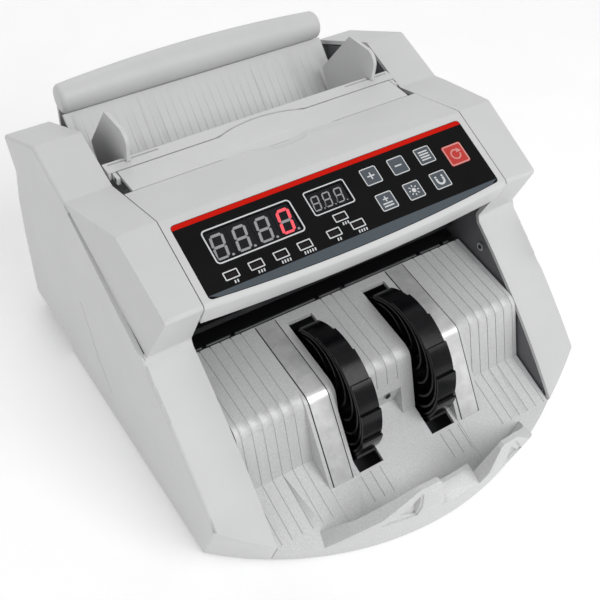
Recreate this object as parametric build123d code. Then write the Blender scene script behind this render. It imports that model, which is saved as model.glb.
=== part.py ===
from build123d import *
import math
import os

# Desktop banknote counter. Millimetres, +X to the operator's right, the operator stands at -Y, +Z up.
# The origin is on the surface the rubber feet stand on, under the middle of the machine.

# ---- driving dimensions -------------------------------------------------------------------------
HALF_WIDTH = 122.0          # outer face of the side covers
SEAM_X = 94.2               # inner edge of the side covers, where the middle parts begin
MIDDLE_X = 93.7             # half width of the parts that fit between the side covers
WALL = 2.4                  # wall thickness of the mouldings
COVER_BOTTOM = 2.0          # the covers hang this far above the table
EDGE_R = 2.0                # rounding along the outer edges of the side covers
CENTRE_SHIFT = -0.528       # moves everything back so that the origin is under the middle
HANDHOLD_Z = 11.0           # lower edge of the side covers behind the hand hold
HANDHOLD_Y = 84.5           # where the hand hold starts

ARC_Y = 39.0                # axis of the round front, seen from above
ARC_R = 173.6               # radius of the round front at the table
ARC_LEAN = 0.27             # outward lean of the front, radius per unit height
RIM_Z = 44.0                # height where the leaning front turns upright
RIM_R = ARC_R + ARC_LEAN * RIM_Z

SHOULDER = (-0.6, 156.0)    # ridge behind the control panel (y, z)
CHEST = (-46.6, 136.2)      # lower front edge of the panel slope
CHIN = (-30.5, 101.6)       # root of the chin, where the cheek begins
CREASE = (51.6, 143.0)      # valley between panel housing and towers
TOWER = (87.6, 155.2)       # ridge of the towers
REAR_Y = 140.0              # rear face
REAR_TOP = 131.5            # rear edge of the towers
PANEL_SLOPE = 0.43          # fall of the control panel towards the operator

HOPPER_Y = 37.3             # front edge of the hopper opening
HOPPER_Z = 146.8
TRAY_RISE = 9.3             # the hopper tray surface is z = y + TRAY_RISE

FACET = (131.2, 0.0784, -0.0968)    # panel housing side: x = FACET0 + FACET1 y + FACET2 z
STEP_HIGH = (50.0, 141.9)   # upper end of the step along the side cover
STEP_LOW = (-34.7, 99.1)    # lower end of that step

# stacker pocket, front to back section (y, z)
STACK_BACK = (-18.6, 75.4)
STACK_BEND = (-71.8, 68.4)
STACK_FOOT = (-83.0, 31.3)
STACK_FALL = 0.37
STRIP_FOOT = (-100.4, 25.2)
SLOT_X = (17.0, 33.0)
SLOT_Y = (-99.9, -24.6)
STRIP_X = (38.1, 50.0)
RIDGE_X = (35.2, 52.6)
RIB_PITCH = 6.35
RIB_FIRST = 59.2
POCKET_SCREW_Z = 45.8

# shafts: (y, z)
STACKER = (-58.8, 47.0)
EXIT = (24.0, 67.1)
FEED = (85.8, 67.5)
PICKUP = (103.5, 99.8)
PINCH = (24.0, 85.1)
RETARD = (65.1, 88.2)
MOTOR = (40.0, 30.0)
SHAFT_R = 3.0
RUNNING = 0.05
WHEEL_R = 39.0
WHEEL_X = (18.8, 31.2)
BLADES = 14
BLADE_T = 1.3
BLADE_SWEEP = 110
BLADE_START = 6.3
FEED_R = 20.0
PICKUP_R = 10.0
EXIT_R = 10.5
PINCH_R = 7.0
PLATE_X = (94.8, 96.3)

# control panel, measured from the shoulder ridge down the slope
KEY_PITCH = 17.85
KEY_SIZE = 10.4
KEY_GAP = 0.3
KEY_FIRST_X = 22.4
KEY_ROWS = (17.5, 33.9)
RESTART_SIZE = 12.9
OVERLAY_X = 89.6
OVERLAY_TOP = 5.0
OVERLAY_ARC = 51.3
OVERLAY_ARC_R = 957.0
OVERLAY_T = 1.2
COUNT_WINDOW = (-52.1, 22.8, 49.9, 18.4)
BATCH_WINDOW = (-6.0, 20.4, 24.0, 13.8)
LED_SIZE = (7.0, 3.8)
LED_PITCH = 14.0
LED_ROW = 39.4

FLAP_X = 88.7
FLAP_Y = (37.8, 56.3)
FLAP_Z = (144.9, 146.9)
FLAP_AXIS = (53.5, 144.5)
BAR_Y = (56.8, 65.4)
BAR_Z = (142.5, 147.3)
GUIDE_X = 78.7
ROLL = (135.9, 146.4)
ROLL_R = 8.6
ROLL_CROWN = 3.9            # the rolled lip is this much wider in the middle than at its ends
TRAY_X = 88.5
FLUTE_PITCH = 5.15
FLUTE_W = 0.9
PICKUP_SLOT = (92.0, 104.6)
DIP_Y = 37.4                # middle of the finger dip, on the seam in front of the flap
TONGUE = [(-32.0, 55.8), (-20.6, 58.8), (-11.0, 61.0), (0.0, 62.0), (11.0, 61.0), (20.6, 58.8), (32.0, 55.8)]
TONGUE_GAP = 0.85
LIP_NOTCHES = (8.2, 62.7, 80.2)    # small notches in the front lip of the feed guide
LIP_X = 86.6                # half width of that lip
SLIT_X = (61.5, 91.0)       # slit of the cross bar in which the side guides run
SLIT_Y = (62.7, 63.9)


# ---- helpers ------------------------------------------------------------------------------------
def save(shape, name):
    """Writes one sub-part."""
    export_step(Pos(0, CENTRE_SHIFT, 0) * shape, "parts/" + name + ".step")


def yz_plane(x):
    """A sketch plane whose own axes are Y and Z, looking along X."""
    return Plane(origin=(x, 0, 0), x_dir=(0, 1, 0), z_dir=(1, 0, 0))


def slab(outline, x0, x1):
    """Extrudes a (y, z) outline or face from x0 to x1."""
    face = outline if isinstance(outline, (Face, Sketch)) else make_face(Polyline(*outline, close=True))
    return extrude(yz_plane(x0) * face, x1 - x0)


def block(x, y, z):
    """A box given by its limits on each axis."""
    box = Box(x[1] - x[0], y[1] - y[0], z[1] - z[0])
    return Pos((x[0] + x[1]) / 2, (y[0] + y[1]) / 2, (z[0] + z[1]) / 2) * box


def rod(radius, x0, x1, at):
    """A cylinder along X through at = (y, z)."""
    return Pos((x0 + x1) / 2, at[0], at[1]) * Rot(0, 90, 0) * Cylinder(radius, x1 - x0)


def ring(outer, inner, x0, x1, at):
    """A tube along X."""
    return rod(outer, x0, x1, at) - rod(inner, x0 - 1, x1 + 1, at)


def turned(points):
    """Revolves an (r, z) outline about the upright axis of the round front."""
    face = Plane.XZ * make_face(Polyline(*points, close=True))
    return Pos(0, ARC_Y, 0) * revolve(face, Axis.Z)


def both(shape):
    """The shape and its mirror image across the middle."""
    return [shape, mirror(shape, about=Plane.YZ)]


def join(shapes):
    """Fuses a list into one shape."""
    total = shapes[0]
    for shape in shapes[1:]:
        total = total + shape
    return total


def group(shapes):
    """Keeps a list of separate solids together in one node."""
    solids = []
    for shape in shapes:
        solids.extend(shape.solids())
    return Compound(children=solids)


def front_limit(inset=0.0):
    """Everything inside the round, leaning front, less an inset."""
    r0 = ARC_R - inset - 20 * ARC_LEAN
    return turned([(0, -20), (r0, -20), (ARC_R - inset + ARC_LEAN * 200, 200), (0, 200)])


def panel(x, s, up=0.0):
    """A location on the control panel: x across, s down the slope, up off its face."""
    plane = Plane(origin=(0, SHOULDER[0], SHOULDER[1]), x_dir=(1, 0, 0), z_dir=panel_normal())
    return Location(plane) * Pos(x, -s, up)


def panel_normal():
    """Unit normal of the control panel."""
    size = math.hypot(1, PANEL_SLOPE)
    return (0, -PANEL_SLOPE / size, 1 / size)


# ---- side covers --------------------------------------------------------------------------------
def side_outline():
    """Side view of the covers, as a (y, z) face whose bottom lies below the table."""
    cheek_end = (-125.0, 9.0)
    cheek_top = (-32.2, 97.8)
    edges = [
        Line((REAR_Y, -12), (REAR_Y, 62)),
        Line((REAR_Y, 62), (137.0, 90)),
        Line((137.0, 90), (130.5, 113)),
        Line((130.5, 113), (REAR_Y, REAR_TOP)),
        Line((REAR_Y, REAR_TOP), TOWER),
        Line(TOWER, CREASE),
        Line(CREASE, SHOULDER),
        Line(SHOULDER, CHEST),
        Line(CHEST, CHIN),
        Line(CHIN, cheek_top),
        ThreePointArc(cheek_top, (-80.0, 58.2), cheek_end),
        Line(cheek_end, (-125.0, -12)),
        Line((-125.0, -12), (REAR_Y, -12)),
    ]
    face = make_face(edges)
    ridges = [v for v in face.vertices() if near(v, TOWER) or near(v, SHOULDER) or near(v, CHEST)]
    face = fillet(ridges, 2.2)
    hollows = [v for v in face.vertices() if near(v, CREASE) or near(v, CHIN)]
    return fillet(hollows, 3.0)


def near(vertex, point):
    """True if a sketch vertex is at a (y, z) point."""
    return abs(vertex.X - point[0]) < 0.01 and abs(vertex.Y - point[1]) < 0.01


def beyond_facet(inset=0.0):
    """Space above the side step and outside the housing's slanting side."""
    a, b, c = FACET
    normal = (1, -b, -c)
    y0, z0 = STEP_HIGH
    origin = (a - inset + b * y0 + c * z0, y0, z0)
    outside = Plane(origin=origin, z_dir=normal) * Pos(0, 0, 20) * Box(400, 400, 40)
    above = slab([(REAR_Y, 260), STEP_HIGH, STEP_LOW, (-60, 99.1), (-60, 260)], 90, 150)
    return outside & above


def side_envelope(inset=0.0):
    """The right side cover's outer form, less an inset."""
    outline = side_outline()
    if inset:
        outline = offset(outline, -inset, kind=Kind.INTERSECTION)
    body = slab(outline, SEAM_X - (2 if inset else 0), HALF_WIDTH - inset)
    body = body & front_limit(inset)
    if not inset:
        rim = body.edges().filter_by(lambda e: abs(e.center().X - HALF_WIDTH) < 0.05 and e.center().Z > -11)
        body = fillet(rim, EDGE_R)
    return body - beyond_facet(inset)


def side_cover():
    """Right side cover: a shell open towards the middle and downwards."""
    shell = side_envelope() - side_envelope(WALL)
    shell = shell - block((80, 140), (-160, 160), (-30, COVER_BOTTOM))
    shell = shell - block((80, 140), (HANDHOLD_Y, 160), (-30, HANDHOLD_Z))
    return shell - side_groove() - side_line()


def along(start, end, width, x0, x1):
    """A straight bar between two (y, z) points."""
    length = math.dist(start, end)
    angle = math.degrees(math.atan2(end[1] - start[1], end[0] - start[0]))
    middle = ((start[0] + end[0]) / 2, (start[1] + end[1]) / 2)
    bar = Box(x1 - x0, length, width)
    return Pos((x0 + x1) / 2, middle[0], middle[1]) * Rot(angle, 0, 0) * bar


def side_groove():
    """Shadow groove below the slanting side of the panel housing."""
    return along(STEP_LOW, (46.0, 139.9), 1.8, HALF_WIDTH - 2.0, HALF_WIDTH + 5)


def side_line():
    """Fine moulded line low on the side."""
    upper = along((50.4, 73.7), (34.3, 39.8), 0.8, HALF_WIDTH - 0.6, HALF_WIDTH + 5)
    lower = along((34.3, 39.8), (21.5, 24.0), 0.8, HALF_WIDTH - 0.6, HALF_WIDTH + 5)
    return upper + lower


# ---- middle covers ------------------------------------------------------------------------------
COVER_BOTTOM_EDGE = (-41.1, 121.3)      # lower front edge of the front cover at its ends
BULGE_R = 1016.0                        # the front of the cover is gently bowed
BULGE_Y = -45.4                         # foremost point of the lower edge
BULGE_LEAN = 0.38


def bowed(inset=0.0):
    """Space behind the bowed front of the front cover."""
    z0 = COVER_BOTTOM_EDGE[1]
    r0 = BULGE_R - inset
    low, high = z0 - 60, z0 + 60
    outline = [(0, low), (r0 - 60 * BULGE_LEAN, low), (r0 + 60 * BULGE_LEAN, high), (0, high)]
    cone = revolve(Plane.XZ * make_face(Polyline(*outline, close=True)), Axis.Z)
    return Pos(0, BULGE_Y + BULGE_R, 0) * cone


def front_cover_form(inset=0.0):
    """Form of the front cover, less an inset."""
    y_front = -60.0
    z_front = SHOULDER[1] + (y_front - SHOULDER[0]) * PANEL_SLOPE
    low = COVER_BOTTOM_EDGE[1] - (10 if inset else 0)
    drop = inset * 1.05
    ridge = (SHOULDER[0], SHOULDER[1] - drop)
    back = (HOPPER_Y - inset * 0.6, HOPPER_Z - drop)
    outline = [(y_front, low), (y_front, z_front - drop), ridge, back, (back[0], low)]
    half = MIDDLE_X + (1 if inset else 0)
    return slab(outline, -half, half) & bowed(inset)


def front_cover():
    """Front cover: slope for the control panel, bowed front edge, finger dip at the flap."""
    form = front_cover_form()
    front_edge = form.edges().filter_by(lambda e: e.center().Y < -45 and e.center().Z > 130)
    front_edge = front_edge.filter_by(lambda e: e.length > 100)
    form = fillet(front_edge, 3.0)
    ridge = form.edges().filter_by(Axis.X).sort_by(Axis.Z)[-1]
    form = fillet(ridge, 2.2)
    shell = form - front_cover_form(WALL)
    shell = shell - block((-100, 100), (-36.0, 30.0), (100, 135.0))
    shell = shell - overlay_outline(OVERLAY_T + 0.1, 0.25)
    shell = shell - panel(0, 26.5) * Box(172, 35, 20)
    return shell - dish(17.5, 9.2, 2.0, -13.6)

def overlay_outline(depth, gap=0.0):
    """The control panel's sheet: straight sides and top, arched lower edge."""
    half = OVERLAY_X + gap
    edge = OVERLAY_ARC - half * half / (2 * OVERLAY_ARC_R) + gap
    outline = [
        Line((-half, -OVERLAY_TOP + gap), (half, -OVERLAY_TOP + gap)),
        Line((half, -OVERLAY_TOP + gap), (half, -edge)),
        ThreePointArc((half, -edge), (0, -OVERLAY_ARC - gap), (-half, -edge)),
        Line((-half, -edge), (-half, -OVERLAY_TOP + gap)),
    ]
    face = fillet(make_face(outline).vertices(), 2.2)
    return panel(0, 0, -depth) * extrude(face, depth + 0.02 if gap else depth)


def key_places():
    """Name, centre and size of each key."""
    top, low = KEY_ROWS
    columns = [KEY_FIRST_X + KEY_PITCH * i for i in range(4)]
    places = []
    for name, x in zip(("key_plus", "key_minus", "key_batch"), columns):
        places.append((name, x, top, KEY_SIZE))
    for name, x in zip(("key_add", "key_uv", "key_mg"), columns):
        places.append((name, x, low, KEY_SIZE))
    places.append(("key_restart", columns[3], 23.4, RESTART_SIZE))
    return places


def led_places():
    """Centres of the indicator windows."""
    row = [(-73.8 + LED_PITCH * i, LED_ROW) for i in range(4)]
    return row + [(-14.2, LED_ROW), (0.2, LED_ROW), (-6.3, 32.5)]


def rounded(width, height, depth, radius):
    """A plate with rounded corners, its top face on z = 0."""
    return Pos(0, 0, -depth) * extrude(RectangleRounded(width, height, radius), depth)


def panel_overlay():
    """Printed sheet of the control panel, with openings for keys, displays and lamps."""
    sheet = overlay_outline(OVERLAY_T)
    for _, x, s, size in key_places():
        hole = size + 2 * KEY_GAP
        sheet = sheet - panel(x, s, 1) * rounded(hole, hole, 5, 1.4)
    for x, s, width, height in (COUNT_WINDOW, BATCH_WINDOW):
        sheet = sheet - panel(x, s, 1) * rounded(width - 2.0, height - 2.0, 5, 1.4)
    for x, s in led_places():
        sheet = sheet - panel(x, s, 1) * rounded(LED_SIZE[0] - 1, LED_SIZE[1] - 1, 5, 0.4)
    return sheet


def key_cap(x, s, size):
    """One key: a flat cap with a stem that reaches its switch."""
    cap = panel(x, s, -0.25) * rounded(size, size, 1.3, 1.1)
    flange = panel(x, s, -1.55) * rounded(size + 1.2, size + 1.2, 0.8, 1.4)
    stem = panel(x, s, -2.0) * rounded(3.4, 3.4, 3.0, 0.6)
    return cap + flange + stem


def display_module(window, digits, pitch):
    """A seven-segment display: a dark block with one shallow dish for each digit."""
    x, s, width, height = window
    body = panel(x, s, -0.4) * rounded(width - 2.4, height - 2.4, 7.5, 0.8)
    for i in range(digits):
        at = x + (i - (digits - 1) / 2) * pitch
        body = body - panel(at, s, 0) * rounded(pitch * 0.95, height * 0.84, 0.65, 0.5)
    return body


def indicator_leds():
    """Small lamps behind the indicator windows."""
    return group([panel(x, s, -0.3) * rounded(LED_SIZE[0] - 1.4, LED_SIZE[1] - 1.4, 7.6, 0.3)
                  for x, s in led_places()])


def display_board():
    """Circuit board under the panel, with a push switch below each key and four stand-offs."""
    board = panel(0, 26.5, -8.0) * rounded(168, 33, 1.6, 1.5)
    parts = [board]
    for _, x, s, _size in key_places():
        parts.append(panel(x, s, -5.8) * rounded(6, 6, 2.3, 0.5))
    return join(parts)


# ---- hopper -------------------------------------------------------------------------------------
def dish(half_x, half_y, depth, tilt):
    """A shallow oval dip on the seam in front of the flap, as a cutter."""
    oval = scale(Sphere(1), (half_x / 0.8, half_y / 0.8, depth * 2.5))
    return Pos(0, DIP_Y, FLAP_Z[1]) * Rot(tilt, 0, 0) * Pos(0, 0, depth * 1.5) * oval


def tongue(gap, z):
    """Rounded tongue in the middle of the flap's rear edge, or its recess if there is a gap."""
    points = [(x * (1 + gap / 30), y + gap) for x, y in TONGUE]
    face = make_face([Spline(*points, tangents=[(1, 0), (1, 0)]), Line(points[-1], (points[-1][0], 50.0)),
                      Line((points[-1][0], 50.0), (points[0][0], 50.0)), Line((points[0][0], 50.0), points[0])])
    return Pos(0, 0, z[0]) * extrude(face, z[1] - z[0])


def top_flap():
    """Lifting flap in front of the hopper, with a hinge barrel at each end."""
    plate = block((-FLAP_X, FLAP_X), FLAP_Y, FLAP_Z) + tongue(0.0, FLAP_Z)
    pad = block((-38.0, 38.0), (FLAP_Y[0], 44.5), (142.6, FLAP_Z[0]))
    stiffener = block((-80, 80), (44.0, 45.5), (142.0, FLAP_Z[0]))
    barrels = both(rod(2.4, 84.4, FLAP_X, FLAP_AXIS))
    plate = join([plate, pad, stiffener] + barrels) - dish(37.0, 6.9, 2.1, 0.0)
    for hole in both(rod(1.5 + RUNNING, 84.0, FLAP_X + 1, FLAP_AXIS)):
        plate = plate - hole
    return plate


def flap_hinge_pins():
    """Steel pins on which the flap turns."""
    return group(both(rod(1.5, 84.6, 91.4, FLAP_AXIS)))


def guide_bar():
    """Cross bar over the hopper mouth, with the front wall of the hopper below it."""
    bar = block((-93.4, 93.4), BAR_Y, BAR_Z)
    web = block((-92.0, 92.0), (BAR_Y[1] - 1.4, BAR_Y[1]), (99.5, BAR_Z[0]))
    slits = both(block(SLIT_X, SLIT_Y, (BAR_Z[0] - 1, BAR_Z[1] + 1)))
    under_lip = block((-92.0, 92.0), (BAR_Y[0] - 1, BAR_Y[0] + 1.2), (BAR_Z[0] - 1, FLAP_Z[1] - 0.1))
    bar = bar - slits[0] - slits[1] - under_lip - tongue(TONGUE_GAP, (BAR_Z[0] - 1, BAR_Z[1] + 1))
    lug = block((89.4, 91.4), (51.0, BAR_Y[0] + 2.5), (BAR_Z[0], 146.6))
    lug = lug - rod(1.5, 80, 100, FLAP_AXIS)
    return join([bar, web] + both(lug))


def note_guide():
    """Right side guide: a flat fin that stands in the hopper and rides on the cross bar."""
    outline = [
        Line((60.6, 147.7), (59.6, 158.0)),
        ThreePointArc((59.6, 158.0), (62.4, 163.4), (68.5, 165.0)),
        Line((68.5, 165.0), (85.5, 164.7)),
        Line((85.5, 164.7), (111.4, 130.2)),
        Line((111.4, 130.2), (103.2, 117.6)),
        Line((103.2, 117.6), (92.0, 106.4)),
        Line((92.0, 106.4), (66.2, 122.0)),
        Line((66.2, 122.0), (66.2, 147.7)),
        Line((66.2, 147.7), (60.6, 147.7)),
    ]
    face = make_face(outline)
    apex = [v for v in face.vertices() if near(v, (85.5, 164.7)) or near(v, (111.4, 130.2))]
    face = fillet(apex, 2.5)
    fin = slab(face, GUIDE_X, GUIDE_X + 2.2)
    key = block((GUIDE_X + 0.3, GUIDE_X + 4.0), (SLIT_Y[0] + 0.3, SLIT_Y[1] - 0.3), (141.0, 147.8))
    hook = block((GUIDE_X + 0.3, GUIDE_X + 4.0), (60.6, SLIT_Y[1] - 0.3), (140.6, BAR_Z[0] - 0.3))
    return fin + key + hook


def rolled_lip():
    """Thick rolled upper edge of the tray, bowed back and up in the middle."""
    sections = []
    for i in range(-2, 3):
        crown = ROLL_CROWN * (1 - (i / 2) ** 2)
        shift = crown / 2 * math.sqrt(0.5)
        plane = yz_plane(TRAY_X * i / 2)
        place = Location(plane) * Pos(ROLL[0] + shift, ROLL[1] + shift) * Rot(0, 0, 45)
        sections.append(place * Ellipse(ROLL_R + 0.01 + crown / 2, ROLL_R))
    roll = loft(sections)
    ends = roll.edges().filter_by(lambda e: abs(e.center().X) > TRAY_X - 1)
    return fillet(ends, 3.2)


def hopper_tray():
    """Fluted sloping tray with a thick rolled upper edge and a rear apron."""
    low = 81.0
    top = ROLL[0] - 5.5
    outline = [
        (low, low + TRAY_RISE),
        (top, top + TRAY_RISE),
        (top + 1.6, top + TRAY_RISE - 1.6),
        (low + 1.6, low + TRAY_RISE - 1.6),
    ]
    plate = slab(outline, -TRAY_X, TRAY_X)
    roll = rolled_lip()
    roll = roll - slab([(ROLL[0] - 12, ROLL[1] - 14), (ROLL[0] + 3, ROLL[1] - 14), (ROLL[0] + 3, ROLL[1]),
                        (ROLL[0] - 1.0, ROLL[1] + 1.6)], -TRAY_X + 2.5, TRAY_X - 2.5)
    apron = block((-TRAY_X, TRAY_X), (ROLL[0] + 1.0, ROLL[0] + 3.2), (124.0, ROLL[1]))
    tray = join([plate, roll, apron])
    wedge = [(129.0, 138.3), (86.5, 94.8), (85.0, 96.5), (128.0, 139.5)]
    for i in range(17):
        x = (i + 0.5) * FLUTE_PITCH
        for flute in both(slab(wedge, x - FLUTE_W / 2, x + FLUTE_W / 2)):
            tray = tray - flute
    for slot in both(block((19.5, 32.5), PICKUP_SLOT, (80, 128))):
        tray = tray - slot
    return tray


# ---- stacker ------------------------------------------------------------------------------------
def stack_outline(foot, rounding):
    """Side view of the stacker top, wall and floor; foot is where the wall meets the floor."""
    end_y = -152.0
    end_z = STACK_FOOT[1] + STACK_FALL * (end_y - STACK_FOOT[0])
    points = [STACK_BACK, STACK_BEND, foot, (end_y, end_z), (end_y, -8.0), (STACK_BACK[0], -8.0)]
    face = make_face(Polyline(*points, close=True))
    bend = [v for v in face.vertices() if near(v, STACK_BEND)]
    return fillet(bend, rounding)


def stack_form(inset=0.0):
    """Outer form of the stacker tray, less an inset."""
    half = MIDDLE_X + (2 if inset else 0)
    main = stack_outline(STACK_FOOT, 9.0)
    ridge = stack_outline(STRIP_FOOT, 7.0)
    if inset:
        main = offset(main, -inset, kind=Kind.INTERSECTION)
        ridge = offset(ridge, -inset, kind=Kind.INTERSECTION)
    form = slab(main, -half, half)
    for side in both(slab(ridge, RIDGE_X[0] + inset, RIDGE_X[1] - inset)):
        form = form + side
    if inset:
        form = form + block((-half, half), (-60, -10), (-8, 60))
        form = form + Pos(0, inset + 1, 0) * slab(main, -half, half)
    return form & front_limit(inset)


def ear():
    """Right upright ear of the front rim, with its triangular finger pocket."""
    outline = [(12.0, 2.0), (12.7, 33.9), (19.2, 61.8), (21.0, 63.8), (30.6, 61.6), (32.8, 60.2),
               (47.0, 46.0), (60.0, 32.0), (72.0, 15.5), (76.0, 9.0), (76.0, 2.0)]
    face = Plane.XZ * make_face(Polyline(*outline, close=True))
    plate = Pos(0, -100, 0) * extrude(face, 70)
    outer = turned([(0, 0), (ARC_R, 0), (RIM_R, RIM_Z), (RIM_R + 0.4, 80), (0, 80)])
    inner = turned([(0, -10), (162.0, -10), (167.4, 14.0), (176.5, 36.0), (182.8, 62.0), (184, 80), (0, 80)])
    plate = (plate & outer) - inner
    shallow = Plane.XZ * make_face(Polyline((27.6, 34.3), (47.5, 33.3), (32.6, 57), (28.4, 57), close=True))
    skin = outer - turned([(0, -1), (ARC_R - 1.1, -1), (RIM_R - 0.9, RIM_Z), (RIM_R - 0.6, 81), (0, 81)])
    plate = plate - ((Pos(0, -100, 0) * extrude(shallow, 70)) & skin)
    pocket = Plane.XZ * make_face(Polyline((29.4, 54.2), (28.6, 36.0), (39.4, 42.0), close=True))
    return plate - (Pos(0, -140.0, 0) * extrude(pocket, 30))


def rim_middle():
    """Low middle of the front rim, between the ears."""
    section = [(166.0, COVER_BOTTOM), (ARC_R + 0.5, COVER_BOTTOM), (182.6, 33.9), (173.6, 37.0),
               (171.0, 37.0), (167.0, 15.0)]
    return turned(section) & block((-13.4, 13.4), (-160, -100), (0, 60))


def rib_positions():
    """Where the fine grooves run, on the right of the middle."""
    return [RIB_FIRST + RIB_PITCH * i for i in range(6)]


def groove(outline, x, y_front):
    """A fine groove that follows an outline, as a cutter."""
    band = outline - offset(outline, -0.45, kind=Kind.INTERSECTION)
    strip = slab(band, x - 0.35, x + 0.35)
    return strip & block((-100, 100), (y_front, 0), (10, 90))


def stacker_tray():
    """Pocket that catches the notes: top, wall, falling floor, round front and raised ears."""
    tray = stack_form() - stack_form(WALL)
    tray = tray - block((-120, 120), (-200, 0), (-30, COVER_BOTTOM))
    for piece in both(ear()) + [rim_middle()]:
        tray = tray + piece
    for cut in both(block(SLOT_X, SLOT_Y, (0, 100))):
        tray = tray - cut
    main = stack_outline(STACK_FOOT, 9.0)
    for x in rib_positions():
        for cutter in both(groove(main, x, -113.0)):
            tray = tray - cutter
    for x in (-7.0, 0.0, 7.0):
        tray = tray - groove(main, x, -76.0)
    for i in range(5):
        floor_rib = groove(main, 46.5 - RIB_PITCH * i, -116.0) & block((0, 60), (-118, -101.5), (0, 60))
        for cutter in both(floor_rib):
            tray = tray - cutter
    housing = slab([(-76.9, 51.0), (-71.6, 51.0), (-71.6, 32.5), (-82.6, 29.0)], -11.0, 11.0)
    undercut = slab([(-77.7, 48.9), (-74.1, 34.6), (-83.3, 31.2), (-86.0, 40.0)], -8.5, 8.5)
    tray = (tray + housing) - undercut
    tray = tray - rod_y(2.2, (0, POCKET_SCREW_Z), -82.0, -76.2) - rod_y(1.6, (0, POCKET_SCREW_Z), -80.0, -70.0)
    return tray - strip_seats()


def rod_y(radius, at, y0, y1):
    """A cylinder along Y through at = (x, z)."""
    return Pos(at[0], (y0 + y1) / 2, at[1]) * Rot(90, 0, 0) * Cylinder(radius, y1 - y0)


def strip_band(rise, sink):
    """Side view of a chrome strip: it follows the ridge from rise above it to sink below it."""
    ridge = stack_outline(STRIP_FOOT, 7.0)
    outer = offset(ridge, rise, kind=Kind.INTERSECTION) if rise else ridge
    band = outer - offset(ridge, -sink, kind=Kind.INTERSECTION)
    window = Pos(-59.7, 50) * Rectangle(81.0, 60)
    foot = Pos(-120, 20) * Rectangle(60, 60)
    return (band & window) - (foot & (Pos(-130.3, 20) * Rectangle(60, 60)))


def strip_seats():
    """Shallow seats for the chrome strips."""
    seat = slab(strip_band(0.0, 0.6), STRIP_X[0] - 0.1, STRIP_X[1] + 0.1)
    return join(both(seat & block((30, 60), (-101.4, -19), (20, 90))))


def chrome_strips():
    """Two bright guide strips that the notes slide on."""
    strip = slab(strip_band(0.25, 0.6), STRIP_X[0], STRIP_X[1])
    return group(both(strip & block((30, 60), (-100.6, -19.4), (22, 90))))


def polar(radius, degrees):
    """A (y, z) point about the stacker shaft."""
    angle = math.radians(degrees)
    return (STACKER[0] + radius * math.cos(angle), STACKER[1] + radius * math.sin(angle))


def blade(root_angle):
    """Outline of one flexible blade: it leaves the hub and winds backwards out to the rim."""
    steps = [(0, 12.5), (-6, 18.5), (-18, 25.5), (-36, 31.2), (-60, 35.3), (-85, 37.4), (-BLADE_SWEEP, WHEEL_R)]
    spine = [polar(radius, root_angle + turn) for turn, radius in steps]
    left, right = [], []
    for i, (y, z) in enumerate(spine):
        before = spine[max(i - 1, 0)]
        after = spine[min(i + 1, len(spine) - 1)]
        length = math.dist(before, after)
        across = ((after[1] - before[1]) / length, -(after[0] - before[0]) / length)
        half = BLADE_T / 2
        left.append((y + half * across[0], z + half * across[1]))
        right.append((y - half * across[0], z - half * across[1]))
    return make_face([Spline(*left), Line(left[-1], right[-1]), Spline(*right), Line(right[0], left[0])])


def stacker_wheel():
    """Right stacker wheel: a hub with a crown of flexible blades wound backwards."""
    wheel = ring(14.0, SHAFT_R, WHEEL_X[0], WHEEL_X[1], STACKER)
    for i in range(BLADES):
        leaf = blade(BLADE_START + 360 / BLADES * i)
        wheel = wheel + extrude(yz_plane(WHEEL_X[0]) * leaf, WHEEL_X[1] - WHEEL_X[0])
    return wheel


# ---- frame and feed -----------------------------------------------------------------------------
def side_plate(motor_hole):
    """Right steel side plate that carries the bearings."""
    outline = offset(side_outline(), -3.4, kind=Kind.INTERSECTION)
    plate = slab(outline, PLATE_X[0], PLATE_X[1])
    plate = plate & front_limit(6.0)
    plate = plate - block((80, 140), (-160, 160), (-30, 5.2))
    plate = plate - block((80, 140), (128.0, 160), (-30, 160))
    for at in (STACKER, EXIT, FEED, PICKUP):
        plate = plate - rod(6.0, 90, 100, at)
    for at in (PINCH, RETARD):
        plate = plate - rod(2.5, 90, 100, at)
    foot = block((PLATE_X[0], PLATE_X[0] + 14), (-60, 120), (5.2, 6.7))
    if motor_hole:
        plate = plate - rod(9.0, 90, 100, MOTOR)
    return plate + foot


def tie_rods():
    """Round spacers that hold the side plates apart, with a screw head at each end."""
    rods = []
    for at in ((0.0, 20.0), (44.0, 112.0), (112.0, 52.0)):
        rods.append(rod(3.5, -PLATE_X[0], PLATE_X[0], at))
    return group(rods)


def shaft_bearings():
    """Flanged bushes in the side plates."""
    bushes = []
    for at in (STACKER, EXIT, FEED, PICKUP):
        bush = ring(6.0, SHAFT_R + RUNNING, PLATE_X[0], PLATE_X[1], at)
        flange = ring(7.5, SHAFT_R + RUNNING, PLATE_X[0] - 1.0, PLATE_X[0], at)
        bushes.extend(both(bush + flange))
    return group(bushes)


def tyres(radius, spans, at):
    """Pairs of rubber tyres on one shaft."""
    made = []
    for x0, x1 in spans:
        tyre = ring(radius, SHAFT_R, x0, x1, at)
        tyre = fillet(tyre.edges().filter_by(GeomType.CIRCLE).group_by(SortBy.RADIUS)[-1], 0.8)
        made.extend(both(tyre))
    return group(made)


def retard_rollers():
    """Braked rollers that hold back all but one note, on their fixed axle."""
    axle = rod(2.5, -PLATE_X[1], PLATE_X[1], RETARD)
    drums = both(ring(9.0, 2.5, 20.5, 31.5, RETARD))
    return group([axle] + drums)


def pinch_rollers():
    """Idle rollers above the exit rollers, on one axle."""
    axle = rod(2.45, -PLATE_X[1], PLATE_X[1], PINCH)
    drums = both(rod(PINCH_R, 40.5, 51.5, PINCH))
    return join([axle] + drums)


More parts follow.
